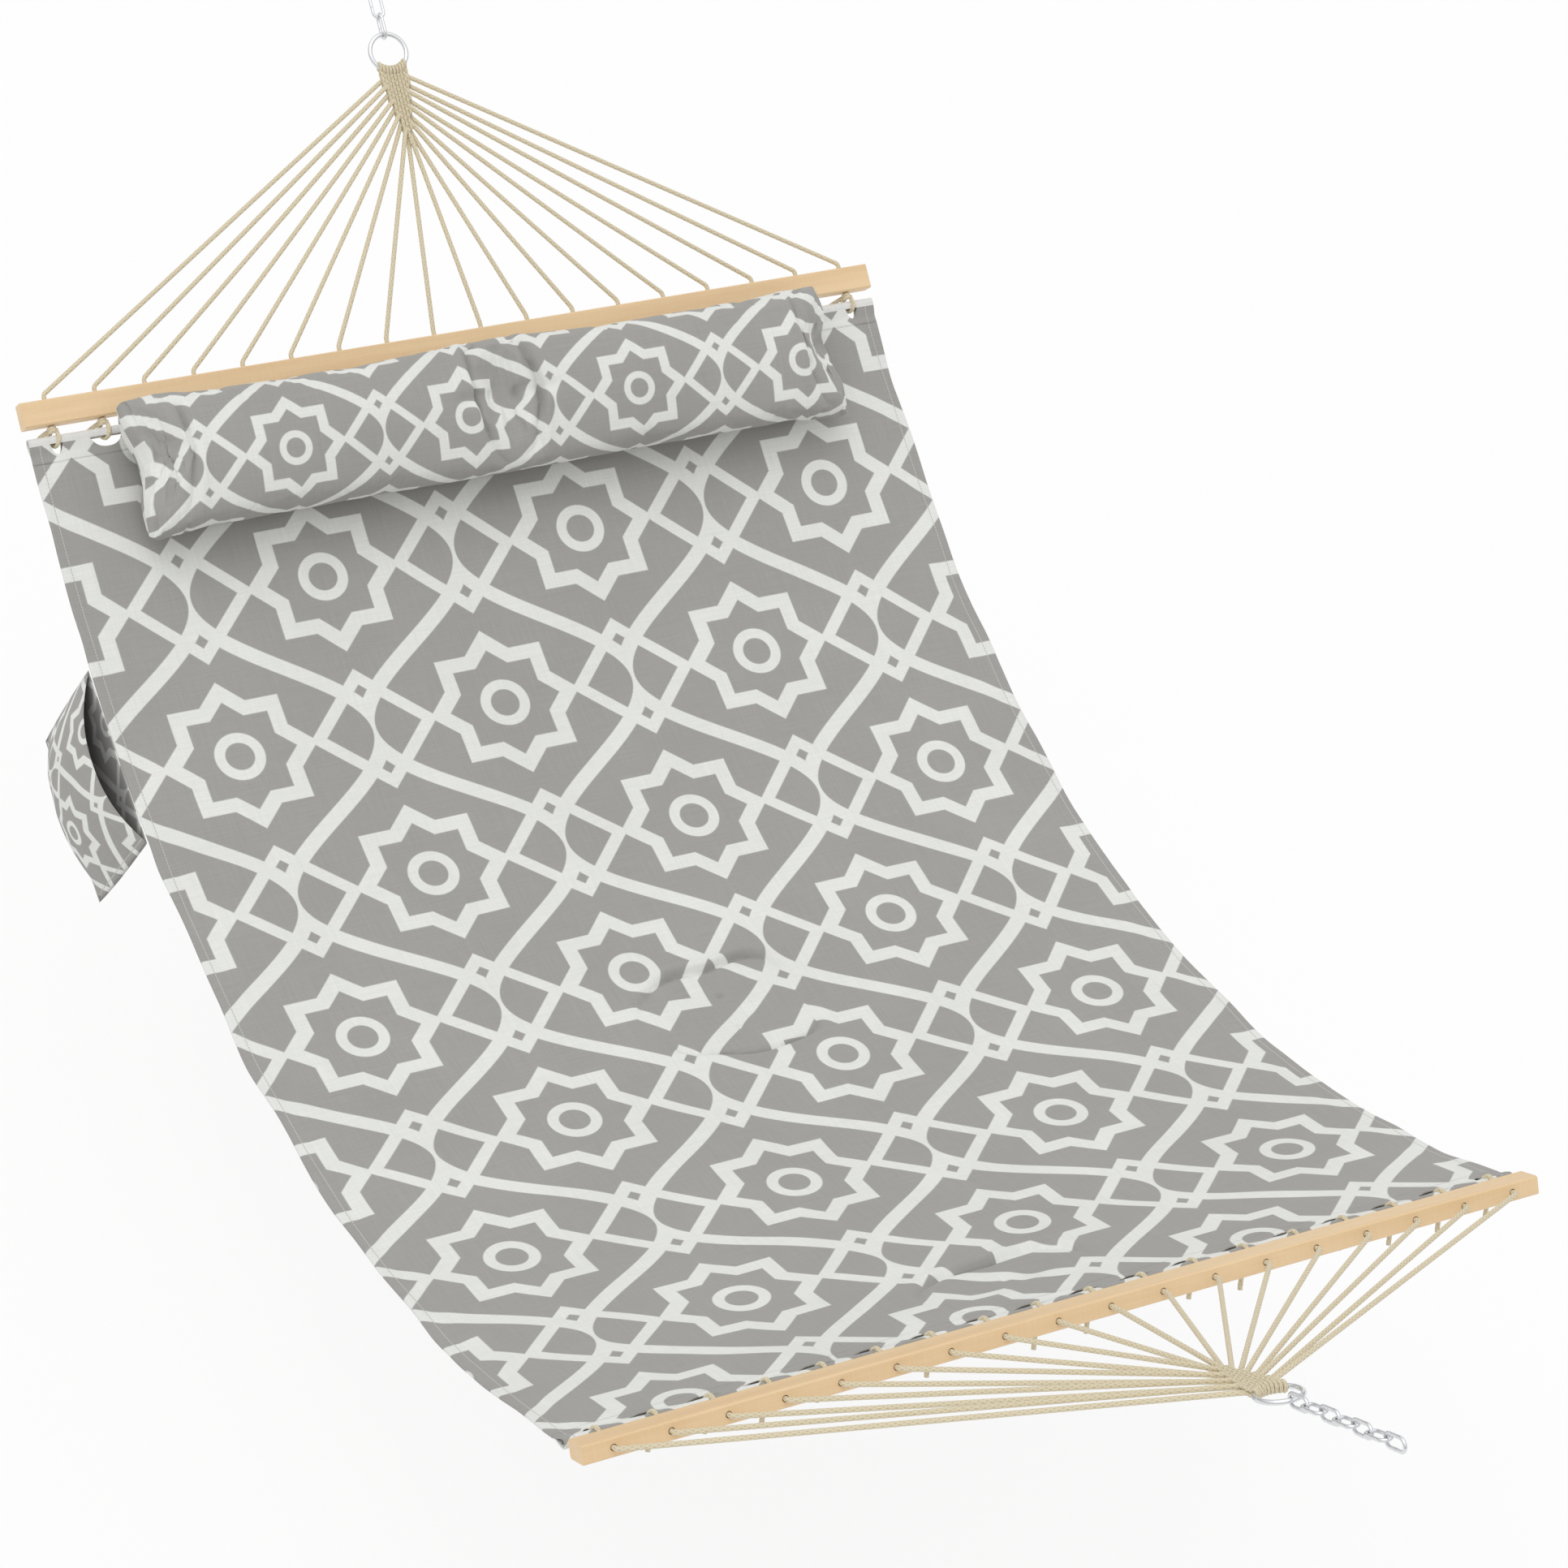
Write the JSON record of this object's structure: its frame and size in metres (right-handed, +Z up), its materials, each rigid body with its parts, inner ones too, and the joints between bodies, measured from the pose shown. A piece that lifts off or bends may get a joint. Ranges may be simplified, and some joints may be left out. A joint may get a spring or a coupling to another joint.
{
  "type": "spreader-bar hammock",
  "caption": "Quilted fabric hammock with wooden spreader bars, fanned cords to a ring and chain at each end, a bolster pillow and a side pocket.",
  "frame": {"origin": "seat of the supporting hook in the head end's last chain link", "axes": "+X from the head hook to the foot hook, +Y to the side without the pocket, +Z up"},
  "size_m": [3.1249, 1.4596, 0.9416],
  "materials": {
    "zinc_steel": "satin",
    "bar_wood": "satin",
    "dowel_wood": "matte",
    "cord": "matte",
    "printed_cloth": "matte",
    "padding": "matte",
    "backing_cloth": "matte"
  },
  "bodies": {
    "hook_links": {"head_hook_link": "zinc_steel", "foot_hook_link": "zinc_steel"},
    "hammock": {"bed_padding": "padding", "bed_top_cover": "printed_cloth", "bed_under_cover": "backing_cloth", "foot_clew": "cord", "foot_cord_1": "cord", "foot_cord_2": "cord", "foot_cord_3": "cord", "foot_cord_4": "cord", "foot_cord_5": "cord", "foot_cord_6": "cord", "foot_cord_7": "cord", "foot_cord_8": "cord", "foot_cord_9": "cord", "foot_dowel": "dowel_wood", "foot_hem_sleeve": "printed_cloth", "foot_ring": "zinc_steel", "foot_spreader_bar": "bar_wood", "head_clew": "cord", "head_cord_1": "cord", "head_cord_2": "cord", "head_cord_3": "cord", "head_cord_4": "cord", "head_cord_5": "cord", "head_cord_6": "cord", "head_cord_7": "cord", "head_cord_8": "cord", "head_cord_9": "cord", "head_dowel": "dowel_wood", "head_hem_sleeve": "printed_cloth", "head_ring": "zinc_steel", "head_spreader_bar": "bar_wood", "pillow_tapes": "backing_cloth"},
    "head_chain_link_2": {"head_chain_link_2": "zinc_steel"},
    "head_chain_link_3": {"head_chain_link_3": "zinc_steel"},
    "head_chain_link_4": {"head_chain_link_4": "zinc_steel"},
    "head_chain_link_5": {"head_chain_link_5": "zinc_steel"},
    "head_chain_link_6": {"head_chain_link_6": "zinc_steel"},
    "head_chain_link_7": {"head_chain_link_7": "zinc_steel"},
    "foot_chain_link_2": {"foot_chain_link_2": "zinc_steel"},
    "foot_chain_link_3": {"foot_chain_link_3": "zinc_steel"},
    "foot_chain_link_4": {"foot_chain_link_4": "zinc_steel"},
    "foot_chain_link_5": {"foot_chain_link_5": "zinc_steel"},
    "foot_chain_link_6": {"foot_chain_link_6": "zinc_steel"},
    "foot_chain_link_7": {"foot_chain_link_7": "zinc_steel"},
    "pillow": {"pillow": "printed_cloth"},
    "side_pocket": {"side_pocket": "printed_cloth"}
  },
  "joints": [
    {"name": "swing", "type": "hinge", "parent": "hook_links", "child": "hammock", "pos_m": [0.02835, 0, -0.02136], "axis": [1, 0, 0], "range_deg": [-35, 35]},
    {"name": "head_chain_link_2_twist", "type": "hinge", "parent": "hammock", "child": "head_chain_link_2", "pos_m": [0.03929, 0, -0.02961], "axis": [0.7986, 0, -0.6018], "range_deg": [-24.46, 24.46]},
    {"name": "head_chain_link_3_twist", "type": "hinge", "parent": "hammock", "child": "head_chain_link_3", "pos_m": [0.06541, 0, -0.04929], "axis": [0.7986, 0, -0.6018], "range_deg": [-20.47, 20.47]},
    {"name": "head_chain_link_4_twist", "type": "hinge", "parent": "hammock", "child": "head_chain_link_4", "pos_m": [0.09152, 0, -0.06897], "axis": [0.7986, 0, -0.6018], "range_deg": [-16.47, 16.47]},
    {"name": "head_chain_link_5_twist", "type": "hinge", "parent": "hammock", "child": "head_chain_link_5", "pos_m": [0.11764, 0, -0.08865], "axis": [0.7986, 0, -0.6018], "range_deg": [-12.48, 12.48]},
    {"name": "head_chain_link_6_twist", "type": "hinge", "parent": "hammock", "child": "head_chain_link_6", "pos_m": [0.14375, 0, -0.10833], "axis": [0.7986, 0, -0.6018], "range_deg": [-8.49, 8.49]},
    {"name": "head_chain_link_7_twist", "type": "hinge", "parent": "hammock", "child": "head_chain_link_7", "pos_m": [0.16987, 0, -0.12801], "axis": [0.7986, 0, -0.6018], "range_deg": [-4.49, 4.49]},
    {"name": "foot_chain_link_2_twist", "type": "hinge", "parent": "hammock", "child": "foot_chain_link_2", "pos_m": [3.07299, 0, -0.02961], "axis": [0.7986, 0, 0.6018], "range_deg": [-24.46, 24.46]},
    {"name": "foot_chain_link_3_twist", "type": "hinge", "parent": "hammock", "child": "foot_chain_link_3", "pos_m": [3.04688, 0, -0.04929], "axis": [0.7986, 0, 0.6018], "range_deg": [-20.47, 20.47]},
    {"name": "foot_chain_link_4_twist", "type": "hinge", "parent": "hammock", "child": "foot_chain_link_4", "pos_m": [3.02076, 0, -0.06897], "axis": [0.7986, 0, 0.6018], "range_deg": [-16.47, 16.47]},
    {"name": "foot_chain_link_5_twist", "type": "hinge", "parent": "hammock", "child": "foot_chain_link_5", "pos_m": [2.99465, 0, -0.08865], "axis": [0.7986, 0, 0.6018], "range_deg": [-12.48, 12.48]},
    {"name": "foot_chain_link_6_twist", "type": "hinge", "parent": "hammock", "child": "foot_chain_link_6", "pos_m": [2.96853, 0, -0.10833], "axis": [0.7986, 0, 0.6018], "range_deg": [-8.49, 8.49]},
    {"name": "foot_chain_link_7_twist", "type": "hinge", "parent": "hammock", "child": "foot_chain_link_7", "pos_m": [2.94242, 0, -0.12801], "axis": [0.7986, 0, 0.6018], "range_deg": [-4.49, 4.49]},
    {"name": "pillow_flip", "type": "hinge", "parent": "hammock", "child": "pillow", "pos_m": [0.60846, 0, -0.43676], "axis": [0, -1, 0], "range_deg": [0, 65]},
    {"name": "pocket_lift", "type": "hinge", "parent": "hammock", "child": "side_pocket", "pos_m": [1.02848, -0.6975, -0.688], "axis": [-0.9342, 0, 0.3568], "range_deg": [0, 60]}
  ],
  "couplings": [
    {"joint": "head_chain_link_2_twist", "follows": "swing", "ratio": -0.68454},
    {"joint": "head_chain_link_3_twist", "follows": "swing", "ratio": -0.57045},
    {"joint": "head_chain_link_4_twist", "follows": "swing", "ratio": -0.45636},
    {"joint": "head_chain_link_5_twist", "follows": "swing", "ratio": -0.34227},
    {"joint": "head_chain_link_6_twist", "follows": "swing", "ratio": -0.22818},
    {"joint": "head_chain_link_7_twist", "follows": "swing", "ratio": -0.11409},
    {"joint": "foot_chain_link_2_twist", "follows": "swing", "ratio": -0.68454},
    {"joint": "foot_chain_link_3_twist", "follows": "swing", "ratio": -0.57045},
    {"joint": "foot_chain_link_4_twist", "follows": "swing", "ratio": -0.45636},
    {"joint": "foot_chain_link_5_twist", "follows": "swing", "ratio": -0.34227},
    {"joint": "foot_chain_link_6_twist", "follows": "swing", "ratio": -0.22818},
    {"joint": "foot_chain_link_7_twist", "follows": "swing", "ratio": -0.11409}
  ]
}
